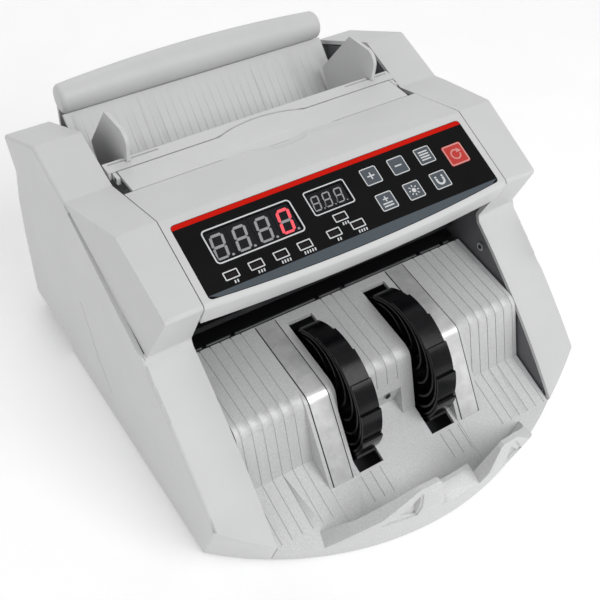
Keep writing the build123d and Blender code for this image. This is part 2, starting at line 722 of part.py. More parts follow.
def guide_path(drop):
    """Points of the note path from the hopper to the stacker, lowered by drop."""
    centre = (57.9, 95.4)
    radius = 20.0 + drop
    a = radius * math.sqrt(0.5)
    start = (80.0 + drop * 0.7, 80.0 + TRAY_RISE - drop * 0.7)
    knee = (centre[0] + a, centre[1] - a)
    bottom = (centre[0], centre[1] - radius)
    middle = (centre[0] + radius * math.sin(math.radians(22.5)),
              centre[1] - radius * math.cos(math.radians(22.5)))
    end = (-17.6, 76.4 - drop)
    return start, knee, middle, bottom, end


def feed_guide():
    """Bent steel plate under the note path, with windows for the rollers."""
    s0, k0, m0, b0, e0 = guide_path(0.0)
    s1, k1, m1, b1, e1 = guide_path(1.2)
    face = make_face([
        Line(s0, k0), ThreePointArc(k0, m0, b0), Line(b0, e0), Line(e0, e1),
        Line(e1, b1), ThreePointArc(b1, m1, k1), Line(k1, s1), Line(s1, s0),
    ])
    plate = slab(face, -92.0, 92.0)
    for cut in both(block((19.0, 33.0), (60.0, 90.0), (60, 100))):
        plate = plate - cut
    for cut in both(block((39.0, 53.0), (12.0, 36.0), (60, 100))):
        plate = plate - cut
    for x in LIP_NOTCHES:
        for cut in both(block((x, x + 1.6), (-18.0, -15.5), (60, 100))):
            plate = plate - cut
    for cut in both(block((LIP_X, 93.0), (-18.0, -14.0), (60, 100))):
        plate = plate - cut
    return plate


def sensor_bar():
    """Black upper guide that holds the note sensors, with windows for the pinch rollers."""
    bar = block((-92.0, 92.0), (-13.0, 52.0), (82.6, 86.2))
    for cut in both(block((39.0, 53.0), (14.0, 34.0), (80, 90))):
        bar = bar - cut
    bar = bar - rod(3.0, -95, 95, PINCH)
    pods = [block((x - 6, x + 6), (-6.0, 6.0), (86.2, 93.0)) for x in (-70.0, 0.0, 70.0)]
    brackets = both(block((90.0, 92.0), (-13.0, 52.0), (86.2, 97.0)) - rod(3.0, 80, 95, PINCH))
    return join([bar] + pods + brackets)


def uv_lamp():
    """Thin ultraviolet tube with its two end caps, beside the sensors."""
    lamp = (44.0, 94.0)
    caps = both(rod(4.0, 60.0, 66.0, lamp))
    return group([rod(3.2, -60.0, 60.0, lamp)] + caps)


# ---- drive --------------------------------------------------------------------------------------
DRIVE_X = (98.0, 103.0)
TRANSPORT_X = (104.4, 108.6)
STACK_X = (110.0, 114.4)
MOTOR_PULLEY_R = 7.0
FEED_DRIVE_R = 18.0
FEED_TRANSPORT_R = 14.0
PICKUP_PULLEY_R = 10.0
EXIT_TRANSPORT_R = 7.0
EXIT_STACK_R = 7.0
STACK_PULLEY_R = 17.0
BELT_GAP = 0.3
BELT_T = 1.3
FLANGE = 1.4


def pulley_track(radius, span, at):
    """One belt track between two flanges."""
    body = rod(radius, span[0], span[1], at)
    for x in (span[0] - 0.6, span[1]):
        body = body + rod(radius + FLANGE, x, x + 0.6, at)
    return body


def bored(shape, radius, at):
    """Takes the shaft's hole out of a pulley."""
    return shape - rod(radius, 90, 130, at)


def belt(circles, span):
    """A belt round the outside of some pulleys, given as ((y, z), radius)."""
    inner = hull([(at, r + BELT_GAP) for at, r in circles])
    outer = hull([(at, r + BELT_GAP + BELT_T) for at, r in circles])
    return slab(outer - inner, span[0] + 0.4, span[1] - 0.4)


def hull(circles):
    """The outline that a tight belt makes round some circles."""
    rings = Sketch() + [Pos(at[0], at[1]) * Circle(r) for at, r in circles]
    return make_hull(rings.edges())


def motor_pulley():
    """Motor shaft with its small pulley."""
    shaft = rod(2.5, 92.4, DRIVE_X[1] + 1, MOTOR)
    return shaft + pulley_track(MOTOR_PULLEY_R, DRIVE_X, MOTOR)


def feed_pulley():
    """Double pulley on the feed shaft."""
    tracks = pulley_track(FEED_DRIVE_R, DRIVE_X, FEED) + pulley_track(FEED_TRANSPORT_R, TRANSPORT_X, FEED)
    link = rod(8.0, DRIVE_X[1], TRANSPORT_X[0], FEED)
    return bored(tracks + link, SHAFT_R, FEED)


def exit_pulley():
    """Double pulley on the exit shaft."""
    tracks = pulley_track(EXIT_TRANSPORT_R, TRANSPORT_X, EXIT) + pulley_track(EXIT_STACK_R, STACK_X, EXIT)
    link = rod(6.0, TRANSPORT_X[1], STACK_X[0], EXIT)
    return bored(tracks + link, SHAFT_R, EXIT)


def drive_motor():
    """Motor can with end bells and a mounting flange."""
    can = rod(17.5, 28.0, 84.0, MOTOR)
    bells = rod(18.5, 20.0, 28.0, MOTOR) + rod(18.5, 84.0, 92.0, MOTOR)
    boss = ring(6.0, 3.0, 92.0, 94.4, MOTOR)
    flange = block((90.0, 92.0), (MOTOR[0] - 22, MOTOR[0] + 22), (MOTOR[1] - 22, MOTOR[1] + 17))
    return (can + bells + flange + boss) - rod(3.0, 91.0, 95.0, MOTOR)


def transformer():
    """Mains transformer: laminated core with a winding."""
    core = block((-86, -44), (72, 104), (6.2, 46))
    core = core - block((-78, -52), (70, 106), (14, 38))
    coil = block((-78, -52), (68, 108), (14, 38))
    base = block((-92, -38), (76, 100), (5.2, 6.2))
    return core + coil + base


def main_board():
    """Main circuit board with its larger components."""
    board = block((-8, 88), (131.0, 132.6), (12, 78))
    parts = [board]
    for x, z, w, h, d in ((-4, 62, 14, 18, 12), (20, 40, 26, 10, 3), (52, 58, 18, 12, 8), (70, 28, 12, 16, 14)):
        parts.append(block((x, x + w), (131.0 - d, 131.0), (z - h / 2, z + h / 2)))
    for x in (0, 14, 46):
        parts.append(Pos(x, 123.0, 24) * Rot(90, 0, 0) * Cylinder(4.5, 16))
    return join(parts)


# ---- base and rear ------------------------------------------------------------------------------
INLET_AT = (-62.0, 34.0)
SWITCH_AT = (-24.0, 34.0)
KNOB_AT = (0.0, 104.0)
ROCKER_PIVOT_Y = 135.6
REAR_FACE = (136.2, 138.4)
PAN_R = 164.0


def base_pan():
    """Pressed steel base, with a low flange along each side."""
    half = HALF_WIDTH - WALL - 0.4
    pan = block((-half, half), (-160, REAR_FACE[0] - 0.3), (3.2, 5.2))
    pan = pan & turned([(0, 0), (PAN_R, 0), (PAN_R, 20), (0, 20)])
    flange = block((half - 1.4, half), (-60.0, 80.0), (5.2, 12.0))
    return join([pan] + both(flange))


def rubber_feet():
    """Four soft feet."""
    feet = []
    for y in (-72.0, 112.0):
        foot = Pos(84, y, 1.6) * Cone(8.0, 8.8, 3.2)
        foot = fillet(foot.edges().sort_by(Axis.Z)[0], 0.8)
        feet.extend(both(foot))
    return group(feet)


def rear_cover():
    """Rear wall between the side covers, with cooling slots, inlet, switch and knob openings."""
    cover = block((-MIDDLE_X, MIDDLE_X), REAR_FACE, (COVER_BOTTOM + 1, 123.2))
    lip = block((-88.0, 88.0), (REAR_FACE[0] - 12, REAR_FACE[0]), (121.2, 123.2))
    cover = cover + lip
    x, z = INLET_AT
    cover = cover - block((x - 14, x + 14), (130, 145), (z - 10.5, z + 10.5))
    x, z = SWITCH_AT
    cover = cover - block((x - 7.0, x + 7.0), (130, 145), (z - 10.0, z + 10.0))
    x, z = KNOB_AT
    cover = cover - rod_y(3.2, (x, z), 130, 145)
    for i in range(9):
        for side in both(block((30 + 6.2 * i, 32.4 + 6.2 * i), (130, 145), (60, 92))):
            cover = cover - side
    return cover


def power_inlet():
    """Mains inlet with three pins in its well."""
    x, z = INLET_AT
    flange = block((x - 16.5, x + 16.5), (REAR_FACE[1], REAR_FACE[1] + 1.8), (z - 13, z + 13))
    body = block((x - 13.8, x + 13.8), (114, REAR_FACE[1]), (z - 10.2, z + 10.2))
    well = block((x - 11.5, x + 11.5), (122, 145), (z - 7.6, z + 7.6))
    pins = [block((x + dx - 1.0, x + dx + 1.0), (121.5, 136), (z + dz - 2.2, z + dz + 2.2))
            for dx, dz in ((-7, -1.5), (0, 2.0), (7, -1.5))]
    return join([(flange + body) - well] + pins)


def switch_frame():
    """Frame of the mains switch."""
    x, z = SWITCH_AT
    frame = block((x - 8.6, x + 8.6), (REAR_FACE[1], REAR_FACE[1] + 1.6), (z - 12, z + 12))
    frame = frame + block((x - 6.8, x + 6.8), (120, REAR_FACE[1]), (z - 9.8, z + 9.8))
    frame = frame - block((x - 5.6, x + 5.6), (128, 145), (z - 8.6, z + 8.6))
    return frame + rod(1.15, x - 6.0, x + 6.0, (ROCKER_PIVOT_Y, z))


def switch_rocker():
    """Rocker of the mains switch, at rest with its lower half pressed."""
    x, z = SWITCH_AT
    outline = [(-3.0, -7.4), (5.2, -7.4), (4.0, 0.0), (5.2, 7.4), (-3.0, 7.4)]
    rocker = slab(outline, x - 5.2, x + 5.2) - rod(1.15 + RUNNING, x - 40, x + 40, (0.0, 0.0))
    return Pos(0, ROCKER_PIVOT_Y, z) * (Rot(7, 0, 0) * rocker)


def gap_knob():
    """Knurled knob at the back that sets the feed gap, with its screw."""
    x, z = KNOB_AT
    knob = rod_y(8.5, (x, z), 138.9, 144.3)
    for i in range(24):
        angle = math.radians(15 * i)
        flute = rod_y(0.7, (x + 8.7 * math.cos(angle), z + 8.7 * math.sin(angle)), 138, 145)
        knob = knob - flute
    return knob + rod_y(2.9, (x, z), 120.0, 138.9)


def cover_screws():
    """Pan head screws of the base, the stacker and the side plates."""
    screws = []
    head = rod_y(2.0, (0, POCKET_SCREW_Z), -77.8, -76.2)
    screws.append(head + rod_y(1.5, (0, POCKET_SCREW_Z), -76.2, -71.2))
    for y in (-40.0, 30.0, 100.0):
        low = Pos(104, y, 2.6) * Cylinder(3.0, 1.2)
        screws.extend(both(low))
    for at in ((-37.3, 83.0), (118.0, 122.0)):
        screws.extend(both(rod(2.6, PLATE_X[0] - 1.4, PLATE_X[0], at)))
    return group(screws)


def main():
    os.makedirs("parts", exist_ok=True)
    right = side_cover()
    save(right, "right_side_cover")
    save(mirror(right, about=Plane.YZ), "left_side_cover")
    save(front_cover(), "front_cover")
    save(panel_overlay(), "panel_overlay")
    for name, x, s, size in key_places():
        save(key_cap(x, s, size), name)
    save(display_module(COUNT_WINDOW, 4, 12.7), "count_display")
    save(display_module(BATCH_WINDOW, 3, 7.2), "batch_display")
    save(indicator_leds(), "indicator_leds")
    save(display_board(), "display_board")
    save(top_flap(), "top_flap")
    save(flap_hinge_pins(), "flap_hinge_pins")
    save(guide_bar(), "guide_bar")
    guide = note_guide()
    save(guide, "right_note_guide")
    save(mirror(guide, about=Plane.YZ), "left_note_guide")
    save(hopper_tray(), "hopper_tray")
    save(stacker_tray(), "stacker_tray")
    save(chrome_strips(), "chrome_strips")
    wheel = stacker_wheel()
    save(wheel, "right_stacker_wheel")
    save(mirror(wheel, about=Plane.YZ), "left_stacker_wheel")
    save(side_plate(True), "right_side_plate")
    save(mirror(side_plate(False), about=Plane.YZ), "left_side_plate")
    save(tie_rods(), "tie_rods")
    save(shaft_bearings(), "shaft_bearings")
    save(rod(SHAFT_R, -97.5, STACK_X[1] + 1.5, STACKER), "stacker_shaft")
    save(rod(SHAFT_R, -97.5, STACK_X[1] + 1.5, EXIT), "exit_shaft")
    save(rod(SHAFT_R, -97.5, TRANSPORT_X[1] + 1.5, FEED), "feed_shaft")
    save(rod(SHAFT_R, -97.5, TRANSPORT_X[1] + 1.5, PICKUP), "pickup_shaft")
    save(tyres(FEED_R, [(20.5, 31.5)], FEED), "feed_rollers")
    save(tyres(PICKUP_R, [(20.5, 31.5)], PICKUP), "pickup_rollers")
    save(tyres(EXIT_R, [(40.5, 51.5)], EXIT), "exit_rollers")
    save(pinch_rollers(), "pinch_rollers")
    save(retard_rollers(), "retard_rollers")
    save(feed_guide(), "feed_guide")
    save(sensor_bar(), "sensor_bar")
    save(uv_lamp(), "uv_lamp")
    save(feed_pulley(), "feed_pulley")
    save(exit_pulley(), "exit_pulley")
    save(bored(pulley_track(PICKUP_PULLEY_R, TRANSPORT_X, PICKUP), SHAFT_R, PICKUP), "pickup_pulley")
    save(bored(pulley_track(STACK_PULLEY_R, STACK_X, STACKER), SHAFT_R, STACKER), "stacker_pulley")
    save(motor_pulley(), "motor_pulley")
    save(belt([(MOTOR, MOTOR_PULLEY_R), (FEED, FEED_DRIVE_R)], DRIVE_X), "drive_belt")
    save(belt([(EXIT, EXIT_TRANSPORT_R), (FEED, FEED_TRANSPORT_R), (PICKUP, PICKUP_PULLEY_R)],
              TRANSPORT_X), "transport_belt")
    save(belt([(EXIT, EXIT_STACK_R), (STACKER, STACK_PULLEY_R)], STACK_X), "stacker_belt")
    save(drive_motor(), "drive_motor")
    save(transformer(), "transformer")
    save(main_board(), "main_board")
    save(base_pan(), "base_pan")
    save(rubber_feet(), "rubber_feet")
    save(rear_cover(), "rear_cover")
    save(power_inlet(), "power_inlet")
    save(switch_frame(), "switch_frame")
    save(switch_rocker(), "switch_rocker")
    save(gap_knob(), "gap_adjust_knob")
    save(cover_screws(), "cover_screws")


main()
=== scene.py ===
import math

import bmesh
import bpy
from mathutils import Matrix, Vector


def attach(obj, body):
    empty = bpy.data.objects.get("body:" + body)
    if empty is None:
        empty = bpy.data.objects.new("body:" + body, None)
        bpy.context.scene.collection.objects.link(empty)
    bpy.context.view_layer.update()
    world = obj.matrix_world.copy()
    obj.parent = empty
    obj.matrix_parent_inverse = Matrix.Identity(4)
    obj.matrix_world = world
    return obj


# Looks of the banknote counter. Metres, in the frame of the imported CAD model.

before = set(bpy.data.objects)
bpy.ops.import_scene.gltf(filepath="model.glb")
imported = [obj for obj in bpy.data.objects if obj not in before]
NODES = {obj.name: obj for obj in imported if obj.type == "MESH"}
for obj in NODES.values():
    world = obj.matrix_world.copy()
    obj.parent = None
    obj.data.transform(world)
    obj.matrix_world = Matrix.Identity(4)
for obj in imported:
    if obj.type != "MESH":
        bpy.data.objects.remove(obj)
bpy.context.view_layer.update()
MM = 0.001


# ---- node helpers -------------------------------------------------------------------------------
def new_material(name):
    """A material with an empty tree, its shader and its output."""
    material = bpy.data.materials.new(name)
    material.use_nodes = True
    tree = material.node_tree
    tree.nodes.clear()
    shader = tree.nodes.new("ShaderNodeBsdfPrincipled")
    output = tree.nodes.new("ShaderNodeOutputMaterial")
    tree.links.new(shader.outputs["BSDF"], output.inputs["Surface"])
    return material, tree, shader


def add(tree, kind, inputs=None, **settings):
    """Adds a node, sets its properties and its inputs: a socket is linked, a value is set."""
    node = tree.nodes.new(kind)
    for key, value in settings.items():
        setattr(node, key, value)
    for key, value in (inputs or {}).items():
        if isinstance(value, bpy.types.NodeSocket):
            tree.links.new(value, node.inputs[key])
        else:
            node.inputs[key].default_value = value
    return node


def place(tree, stretch=(1, 1, 1)):
    """Position on the object, in millimetres, stretched if asked."""
    where = add(tree, "ShaderNodeTexCoord")
    scale = tuple(1000 * s for s in stretch)
    mapping = add(tree, "ShaderNodeMapping", {"Vector": where.outputs["Object"], "Scale": scale})
    return mapping.outputs["Vector"]


def noise(tree, vector, scale, detail=2.0, rough=0.5):
    """Noise whose features are about 1 / scale millimetres across."""
    inputs = {"Vector": vector, "Scale": scale, "Detail": detail, "Roughness": rough}
    return add(tree, "ShaderNodeTexNoise", inputs).outputs["Fac"]


def ramp(tree, value, stops):
    """Colour ramp through (position, colour) stops."""
    node = add(tree, "ShaderNodeValToRGB", {"Fac": value})
    band = node.color_ramp
    while len(band.elements) < len(stops):
        band.elements.new(0.5)
    for element, (position, colour) in zip(band.elements, stops):
        element.position = position
        element.color = (*colour, 1) if len(colour) == 3 else colour
    return node.outputs["Color"]


def span(tree, value, low, high):
    """Maps 0..1 to low..high."""
    return add(tree, "ShaderNodeMapRange", {"Value": value, "To Min": low, "To Max": high}).outputs["Result"]


def bump(tree, height, strength, distance):
    """A bump from a height, in metres."""
    inputs = {"Height": height, "Strength": strength, "Distance": distance}
    return add(tree, "ShaderNodeBump", inputs).outputs["Normal"]


# ---- materials ----------------------------------------------------------------------------------
def moulded_plastic(name, light, dark, rough, gloss=0.5):
    """Moulded plastic: fine spark texture, faint mottling and an uneven sheen."""
    material, tree, shader = new_material(name)
    at = place(tree)
    mottle = noise(tree, at, 0.035, 3.0, 0.6)
    colour = ramp(tree, mottle, [(0.3, dark), (0.7, light)])
    tree.links.new(colour, shader.inputs["Base Color"])
    sheen = noise(tree, at, 0.5, 3.0, 0.6)
    tree.links.new(span(tree, sheen, rough - 0.06, rough + 0.08), shader.inputs["Roughness"])
    spark = noise(tree, at, 2.2, 2.0, 0.7)
    tree.links.new(bump(tree, spark, 0.35, 0.00003), shader.inputs["Normal"])
    shader.inputs["Specular IOR Level"].default_value = gloss
    return material


def silvered_plastic(name, light, dark, rough, metallic):
    """Moulded plastic with fine metal flake, as on the note stacker."""
    material, tree, shader = new_material(name)
    at = place(tree)
    flake = noise(tree, at, 1.1, 2.0, 0.8)
    tree.links.new(ramp(tree, flake, [(0.32, dark), (0.68, light)]), shader.inputs["Base Color"])
    sheen = noise(tree, at, 0.3, 3.0, 0.6)
    tree.links.new(span(tree, sheen, rough - 0.05, rough + 0.07), shader.inputs["Roughness"])
    tree.links.new(bump(tree, flake, 0.4, 0.00003), shader.inputs["Normal"])
    shader.inputs["Metallic"].default_value = metallic
    return material


def rubber(name, light, dark, rough, gloss=0.5):
    """Black rubber: glossy where rubbed, with fine moulding lines."""
    material, tree, shader = new_material(name)
    at = place(tree)
    patch = noise(tree, at, 0.12, 4.0, 0.6)
    tree.links.new(ramp(tree, patch, [(0.3, dark), (0.75, light)]), shader.inputs["Base Color"])
    sheen = noise(tree, at, 0.4, 3.0, 0.6)
    tree.links.new(span(tree, sheen, rough - 0.1, rough + 0.12), shader.inputs["Roughness"])
    tree.links.new(bump(tree, noise(tree, at, 1.4, 3.0, 0.6), 0.4, 0.00005), shader.inputs["Normal"])
    shader.inputs["Specular IOR Level"].default_value = gloss
    return material


def metal(name, colour, rough, stretch, depth=0.00001, metallic=1.0):
    """Drawn or ground metal: streaks along one axis."""
    material, tree, shader = new_material(name)
    at = place(tree, stretch)
    streak = noise(tree, at, 1.0, 4.0, 0.65)
    darker = tuple(c * 0.82 for c in colour)
    tree.links.new(ramp(tree, streak, [(0.3, darker), (0.7, colour)]), shader.inputs["Base Color"])
    tree.links.new(span(tree, streak, rough - 0.08, rough + 0.1), shader.inputs["Roughness"])
    tree.links.new(bump(tree, streak, 0.3, depth), shader.inputs["Normal"])
    shader.inputs["Metallic"].default_value = metallic
    return material


CASING = moulded_plastic("casing_plastic", (0.665, 0.667, 0.668), (0.642, 0.644, 0.646), 0.44, 0.4)
TRAY = silvered_plastic("silvered_tray", (0.725, 0.727, 0.73), (0.60, 0.602, 0.605), 0.52, 0.2)
BLACK = moulded_plastic("black_plastic", (0.014, 0.014, 0.016), (0.008, 0.008, 0.009), 0.45, 0.25)
DISPLAY = moulded_plastic("display_face", (0.010, 0.010, 0.013), (0.006, 0.006, 0.009), 0.25, 0.3)
WHITE_NYLON = moulded_plastic("white_nylon", (0.80, 0.79, 0.75), (0.74, 0.73, 0.69), 0.5)
WHEEL = rubber("wheel_rubber", (0.008, 0.008, 0.009), (0.003, 0.003, 0.004), 0.18, 0.25)
ROLLER = rubber("roller_rubber", (0.03, 0.03, 0.032), (0.015, 0.015, 0.017), 0.6)
STEEL = metal("steel", (0.56, 0.57, 0.58), 0.3, (0.1, 1.5, 1.5))
# steel darkened as painted shade: it keeps the feed guide black, standing in for the shade inside the exit
# gap
EXIT_SHADE_STEEL = metal("exit_shade_steel", (0.09, 0.09, 0.10), 0.45, (0.1, 1.5, 1.5))
CHROME = metal("chrome", (0.98, 0.98, 0.98), 0.34, (0.12, 0.16, 0.12), 0.0003, 0.6)
BRASS = metal("brass", (0.72, 0.52, 0.24), 0.35, (1.0, 1.0, 1.0))
PAINTED = moulded_plastic("painted_steel", (0.16, 0.16, 0.17), (0.12, 0.12, 0.13), 0.5)
BOARD = moulded_plastic("board", (0.006, 0.012, 0.008), (0.004, 0.009, 0.006), 0.45, 0.2)
KEY = moulded_plastic("key_plastic", (0.092, 0.108, 0.122), (0.075, 0.090, 0.104), 0.4, 0.25)
RESTART = moulded_plastic("restart_plastic", (0.60, 0.055, 0.045), (0.52, 0.045, 0.036), 0.4, 0.25)
OVERLAY = moulded_plastic("overlay", (0.006, 0.006, 0.0065), (0.004, 0.004, 0.0045), 0.42, 0.1)
RED_INK = moulded_plastic("red_ink", (0.64, 0.010, 0.003), (0.57, 0.007, 0.002), 0.42, 0.08)
SLATE_INK = moulded_plastic("slate_ink", (0.088, 0.106, 0.122), (0.078, 0.096, 0.112), 0.42, 0.16)
WHITE_INK = moulded_plastic("white_ink", (0.72, 0.73, 0.74), (0.62, 0.63, 0.64), 0.45)
PINK_INK = moulded_plastic("pink_ink", (0.74, 0.36, 0.34), (0.66, 0.26, 0.24), 0.45)
SEGMENT_OFF = moulded_plastic("segment_off", (0.36, 0.36, 0.37), (0.30, 0.30, 0.31), 0.35)
SEGMENT_ON = moulded_plastic("segment_on", (0.75, 0.07, 0.08), (0.65, 0.05, 0.06), 0.35)
LAMP = moulded_plastic("lamp_window", (0.014, 0.010, 0.010), (0.010, 0.008, 0.008), 0.3, 0.25)

FINISH = {
    CASING: ["right_side_cover", "left_side_cover", "front_cover", "rear_cover", "top_flap", "guide_bar",
             "right_note_guide", "left_note_guide", "hopper_tray"],
    TRAY: ["stacker_tray"],
    OVERLAY: ["panel_overlay"],
    BLACK: ["sensor_bar", "power_inlet", "switch_frame", "switch_rocker", "gap_adjust_knob"],
    DISPLAY: ["count_display", "batch_display"],
    LAMP: ["indicator_leds"],
    WHITE_NYLON: ["feed_pulley", "exit_pulley", "pickup_pulley", "stacker_pulley", "motor_pulley",
                  "pinch_rollers", "uv_lamp"],
    WHEEL: ["right_stacker_wheel", "left_stacker_wheel", "drive_belt", "transport_belt", "stacker_belt"],
    ROLLER: ["feed_rollers", "pickup_rollers", "exit_rollers", "retard_rollers", "rubber_feet"],
    CHROME: ["chrome_strips"],
    STEEL: ["flap_hinge_pins", "tie_rods", "stacker_shaft", "exit_shaft", "feed_shaft", "pickup_shaft",
            "drive_motor", "cover_screws"],
    # feed guide in the darkened steel: painted shade of the exit gap
    EXIT_SHADE_STEEL: ["feed_guide"],
    BRASS: ["shaft_bearings"],
    PAINTED: ["right_side_plate", "left_side_plate", "base_pan", "transformer"],
    BOARD: ["display_board", "main_board"],
    KEY: ["key_plus", "key_minus", "key_batch", "key_add", "key_uv", "key_mg"],
    RESTART: ["key_restart"],
}
for material, names in FINISH.items():
    for node_name in names:
        slots = NODES[node_name].data.materials
        slots.clear()
        slots.append(material)


# ---- softened moulded edges ---------------------------------------------------------------------
SOFT = {
    0.7: ["right_side_cover", "left_side_cover", "front_cover", "stacker_tray", "hopper_tray"],
    0.4: ["top_flap", "guide_bar", "right_note_guide", "left_note_guide"],
    0.15: ["panel_overlay", "key_plus", "key_minus", "key_batch", "key_add", "key_uv", "key_mg",
           "key_restart"],
}


def soften(node, width):
    """Rounds the sharp edges of a moulded piece."""
    weld = node.modifiers.new("weld", "WELD")
    weld.merge_threshold = 0.000002
    bevel = node.modifiers.new("bevel", "BEVEL")
    bevel.width = width * MM
    bevel.segments = 2
    bevel.limit_method = "ANGLE"
    bevel.angle_limit = math.radians(28)
    bevel.harden_normals = True


for edge_width, soft_nodes in SOFT.items():
    for node_name in soft_nodes:
        soften(NODES[node_name], edge_width)


# ---- control panel print ------------------------------------------------------------------------
SHIFT = -0.528                          # the CAD model's centring shift along Y
PANEL_TOP = (-0.6 + SHIFT, 156.0)       # ridge above the control panel (y, z)
DOWN = (-0.91867, -0.39503)             # down the panel's slope (y, z)
OUT = (-0.39503, 0.91867)               # away from its face
FACE = 0.0
KEY_FACE = -0.25
DISH = -0.65
EDGE_X = 89.6
INK = 0.06                              # thickness of a printed layer


def on_panel(x, s, up):
    """A point x across the panel, s down its slope and up off its face, in metres."""
    y = PANEL_TOP[0] + DOWN[0] * s + OUT[0] * up
    z = PANEL_TOP[1] + DOWN[1] * s + OUT[1] * up
    return Vector((x, y, z)) * MM


def loop_round(cx, cs, width, height, radius, steps=5):
    """A rounded rectangle as a loop of (x, s) points."""
    points = []
    for turn, sx, ss in ((0, 1, 1), (90, -1, 1), (180, -1, -1), (270, 1, -1)):
        for i in range(steps + 1):
            angle = math.radians(turn + 90 * i / steps)
            x = cx + sx * (width / 2 - radius) + radius * math.cos(angle)
            points.append((x, cs + ss * (height / 2 - radius) + radius * math.sin(angle)))
    return points


def frame_round(cx, cs, width, height, radius, line):
    """A rounded outline of a given line width: its outer and its inner loop."""
    inner = loop_round(cx, cs, width - 2 * line, height - 2 * line, max(radius - line, 0.05))
    return loop_round(cx, cs, width, height, radius), inner


def stroke(x0, s0, x1, s1, width):
    """A straight bar between two points."""
    length = math.hypot(x1 - x0, s1 - s0)
    ax, ay = (x1 - x0) / length * width / 2, (s1 - s0) / length * width / 2
    return [(x0 - ay, s0 + ax), (x1 - ay, s1 + ax), (x1 + ay, s1 - ax), (x0 + ay, s0 - ax)], None


def arc_band(cx, cs, radius, width, start, end, steps=20):
    """A curved bar about a centre, from one angle to another."""
    angles = [math.radians(start + (end - start) * i / steps) for i in range(steps + 1)]
    rows = []
    for r in (radius + width / 2, radius - width / 2):
        rows.append([(cx + r * math.cos(a), cs + r * math.sin(a)) for a in angles])
    return rows[0] + rows[1][::-1], None


def printed(name, body, material, shapes, up, thick=INK):
    """Thin pieces on the panel: each shape is an outer loop and, for an outline, an inner loop."""
    mesh = bmesh.new()
    for outer, inner in shapes:
        top = [mesh.verts.new(on_panel(x, s, up + thick)) for x, s in outer]
        low = [mesh.verts.new(on_panel(x, s, up)) for x, s in outer]
        count = len(outer)
        if inner is None:
            mesh.faces.new(top)
            mesh.faces.new(low[::-1])
        else:
            top_in = [mesh.verts.new(on_panel(x, s, up + thick)) for x, s in inner]
            low_in = [mesh.verts.new(on_panel(x, s, up)) for x, s in inner]
        for i in range(count):
            j = (i + 1) % count
            mesh.faces.new((top[j], top[i], low[i], low[j]))
            if inner is not None:
                mesh.faces.new((top[i], top[j], top_in[j], top_in[i]))
                mesh.faces.new((low[j], low[i], low_in[i], low_in[j]))
                mesh.faces.new((top_in[i], top_in[j], low_in[j], low_in[i]))
    bmesh.ops.recalc_face_normals(mesh, faces=mesh.faces)
    data = bpy.data.meshes.new(name)
    mesh.to_mesh(data)
    mesh.free()
    piece = bpy.data.objects.new(name, data)
    bpy.context.scene.collection.objects.link(piece)
    data.materials.append(material)
    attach(piece, body)
    return piece


def red_stripe():
    """The red stripe along the top of the panel, with rounded upper corners."""
    left = [(-EDGE_X + 2 - 2 * math.sin(math.radians(a)), 7.1 - 2 * math.cos(math.radians(a)))
            for a in range(0, 91, 15)]
    right = [(-x, s) for x, s in left[::-1]]
    return left + [(-EDGE_X, 7.8), (EDGE_X, 7.8)] + right, None


def slate_band():
    """The slate band along the arched lower edge of the panel."""
    arc = []
    for i in range(41):
        x = (EDGE_X - 0.2) * (i / 20 - 1)
        corner = max(abs(x) - (EDGE_X - 2), 0)
        arc.append((x, 51.2 - x * x / 1914 - (2 - math.sqrt(max(4 - corner * corner, 0)))))
    return [(-EDGE_X + 0.2, 45.4)] + arc[1:-1] + [(EDGE_X - 0.2, 45.4)], None


SEGMENTS = {"a": (0, 0, 1, 0), "b": (1, 0, 1, 0.5), "c": (1, 0.5, 1, 1), "d": (0, 1, 1, 1),
            "e": (0, 0.5, 0, 1), "f": (0, 0, 0, 0.5), "g": (0, 0.5, 1, 0.5)}


def digit(cx, cs, width, height, line, segments):
    """The named segments of a slanted seven-segment digit, as pointed bars."""
    lean = 0.17
    made = []
    for key in segments:
        u0, v0, u1, v1 = SEGMENTS[key]
        w, h = width - line, height - line
        x0, s0, x1, s1 = (u0 - 0.5) * w, (v0 - 0.5) * h, (u1 - 0.5) * w, (v1 - 0.5) * h
        length = math.hypot(x1 - x0, s1 - s0)
        dx, ds = (x1 - x0) / length, (s1 - s0) / length
        gap, half = line * 0.12, line / 2
        loop = []
        tip = gap + half * 0.9
        for along, across in ((gap, 0), (tip, half), (length - tip, half),
                              (length - gap, 0), (length - tip, -half), (tip, -half)):
            x = x0 + dx * along - ds * across
            s = s0 + ds * along + dx * across
            loop.append((cx + x - lean * s, cs + s))
        made.append((loop, None))
    return made


def dot(cx, cs, radius):
    """A round dot."""
    return loop_round(cx, cs, 2 * radius, 2 * radius, radius, 3), None


LAMPS = [(-73.9, 39.4), (-59.9, 39.4), (-45.7, 39.4), (-31.8, 39.4), (-14.2, 39.4), (-6.3, 32.6), (0.2, 39.7)]
COUNT_DIGITS = (-71.9, -59.4, -46.6, -34.0)
BATCH_DIGITS = (-14.0, -7.2, 0.0)


